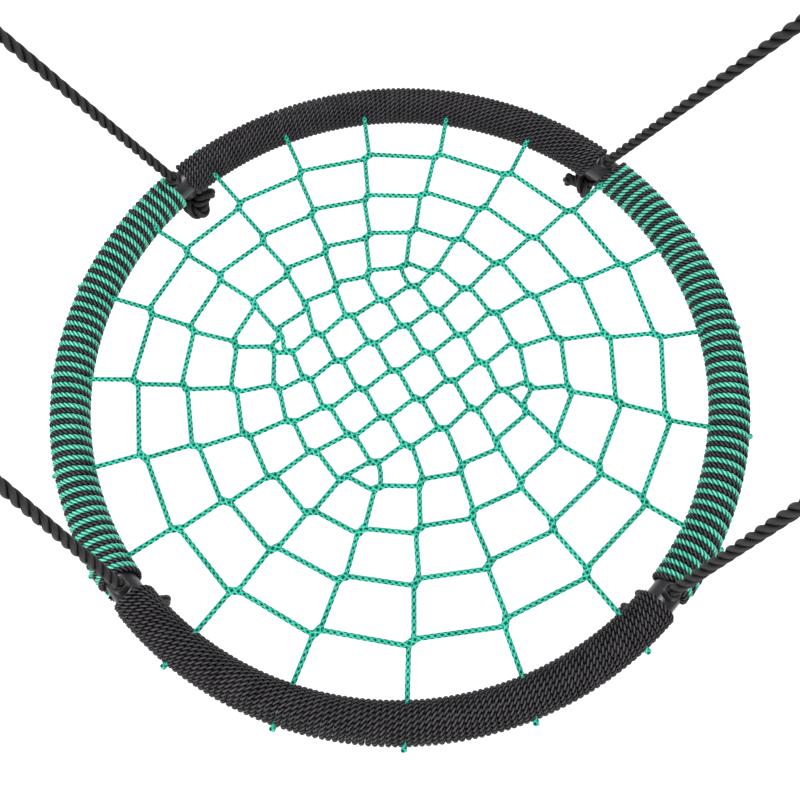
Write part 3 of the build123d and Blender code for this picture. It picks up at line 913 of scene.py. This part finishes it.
# --- carried-over CAD nodes -----------------------------------------------------------------
def finish_cad():
    """Materials for the pieces whose CAD shape stays."""
    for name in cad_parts:
        if name.startswith("frame_"):
            finish_node(name, TUBE_PAINT)
        elif name.startswith("rope_bush"):
            finish_node(name, BLACK_PLASTIC)
        elif name.startswith("hanger_bush"):
            finish_node(name, NYLON)
        elif name.startswith(("carabiner", "gate", "thimble")):
            finish_node(name, BRIGHT)
        elif name.startswith("hanger"):
            finish_node(name, PLATED)


# --- studio ---------------------------------------------------------------------------------
FLOOR_DROP = 0.42          # below the saucer's lowest point
FLOOR_HALF = 9.0
SURROUND = 0.42            # strength of the white surround
# Soft lights: place, size and power, all turned to the saucer's middle
SOFTBOXES = {
    "key": ((-0.6, -2.4, -0.2), 0.8, 45.0),
    "top": ((0.3, 0.9, 2.2), 1.8, 110.0),
    "right": ((2.4, 0.6, -0.3), 1.2, 14.0),
    "left": ((-2.4, 0.8, -0.2), 1.2, 14.0),
}
CAMERA_LENS = 36.0
CAMERA_SENSOR = 36.0
CAMERA_ANGLES = (70.0, 10.4, -4.0)     # elevation, heading and roll, degrees
CAMERA_DISTANCE = 2.42 * RING_RADIUS
CAMERA_AHEAD = -0.093 * RING_RADIUS    # from the saucer's middle to the point it looks at
CAMERA_RIGHT = 0.004 * RING_RADIUS


def make_floor():
    """A wide pale floor."""
    z = CAD_BOX[0][2] - FLOOR_DROP
    nodes = Nodes("studio_floor")
    cloud = nodes.noise(3.0, 3.0)
    colour = nodes.ramp(cloud, ((0.3, linear(248, 248, 248)), (0.7, linear(251, 251, 251))))
    nodes.join(colour, nodes.shader.inputs["Base Color"])
    nodes.set(Roughness=0.9)
    mesh = bpy.data.meshes.new("floor")
    corners = [(x * FLOOR_HALF, y * FLOOR_HALF, z) for x, y in ((-1, -1), (1, -1), (1, 1), (-1, 1))]
    mesh.from_pydata(corners, [], [(0, 1, 2, 3)])
    mesh.materials.append(nodes.material)
    floor = bpy.data.objects.new("floor", mesh)
    bpy.context.scene.collection.objects.link(floor)


def turn_to(thing, right, upward, back):
    """Turns a light or a camera so that its own axes are these directions."""
    turned = np.stack((right, upward, back), axis=1)
    thing.rotation_mode = "QUATERNION"
    thing.rotation_quaternion = Matrix(turned.tolist()).to_quaternion()


def softbox(name, place, size, power):
    """A square soft light, turned to the saucer's middle."""
    data = bpy.data.lights.new(name, "AREA")
    data.shape = "SQUARE"
    data.size = size
    data.energy = power
    light = bpy.data.objects.new(name, data)
    bpy.context.scene.collection.objects.link(light)
    light.location = place
    forward = unit(SAUCER_Z * UP - np.array(place))
    right = unit(np.cross(forward, UP))
    turn_to(light, right, np.cross(right, forward), -forward)


def make_lights():
    """A white surround and large soft lights in front, above and at the sides."""
    world = bpy.data.worlds.new("surround")
    world.use_nodes = True
    background = world.node_tree.nodes["Background"]
    background.inputs["Color"].default_value = (1.0, 1.0, 1.0, 1.0)
    background.inputs["Strength"].default_value = SURROUND
    bpy.context.scene.world = world
    for name, (place, size, power) in SOFTBOXES.items():
        softbox(name, place, size, power)


def make_camera():
    """The camera above the saucer's front edge, looking down through the ropes, a little rolled."""
    data = bpy.data.cameras.new("camera")
    data.lens = CAMERA_LENS
    data.sensor_width = CAMERA_SENSOR
    data.clip_start = 0.01
    camera = bpy.data.objects.new("camera", data)
    bpy.context.scene.collection.objects.link(camera)
    elevation, heading, roll = (math.radians(angle) for angle in CAMERA_ANGLES)
    right = np.array((math.cos(heading), math.sin(heading), 0.0))
    ahead = np.array((-math.sin(heading), math.cos(heading), 0.0))
    back = -ahead * math.cos(elevation) + UP * math.sin(elevation)
    upward = ahead * math.sin(elevation) + UP * math.cos(elevation)
    target = ahead * CAMERA_AHEAD + right * CAMERA_RIGHT + SAUCER_Z * UP
    camera.location = target + back * CAMERA_DISTANCE
    rolled_right = math.cos(roll) * right + math.sin(roll) * upward
    rolled_up = -math.sin(roll) * right + math.cos(roll) * upward
    turn_to(camera, rolled_right, rolled_up, back)
    bpy.context.scene.camera = camera


finish_cad()
make_ropes()
make_windings()
make_net()
make_floor()
make_lights()
make_camera()
bpy.context.scene.view_settings.view_transform = "Standard"
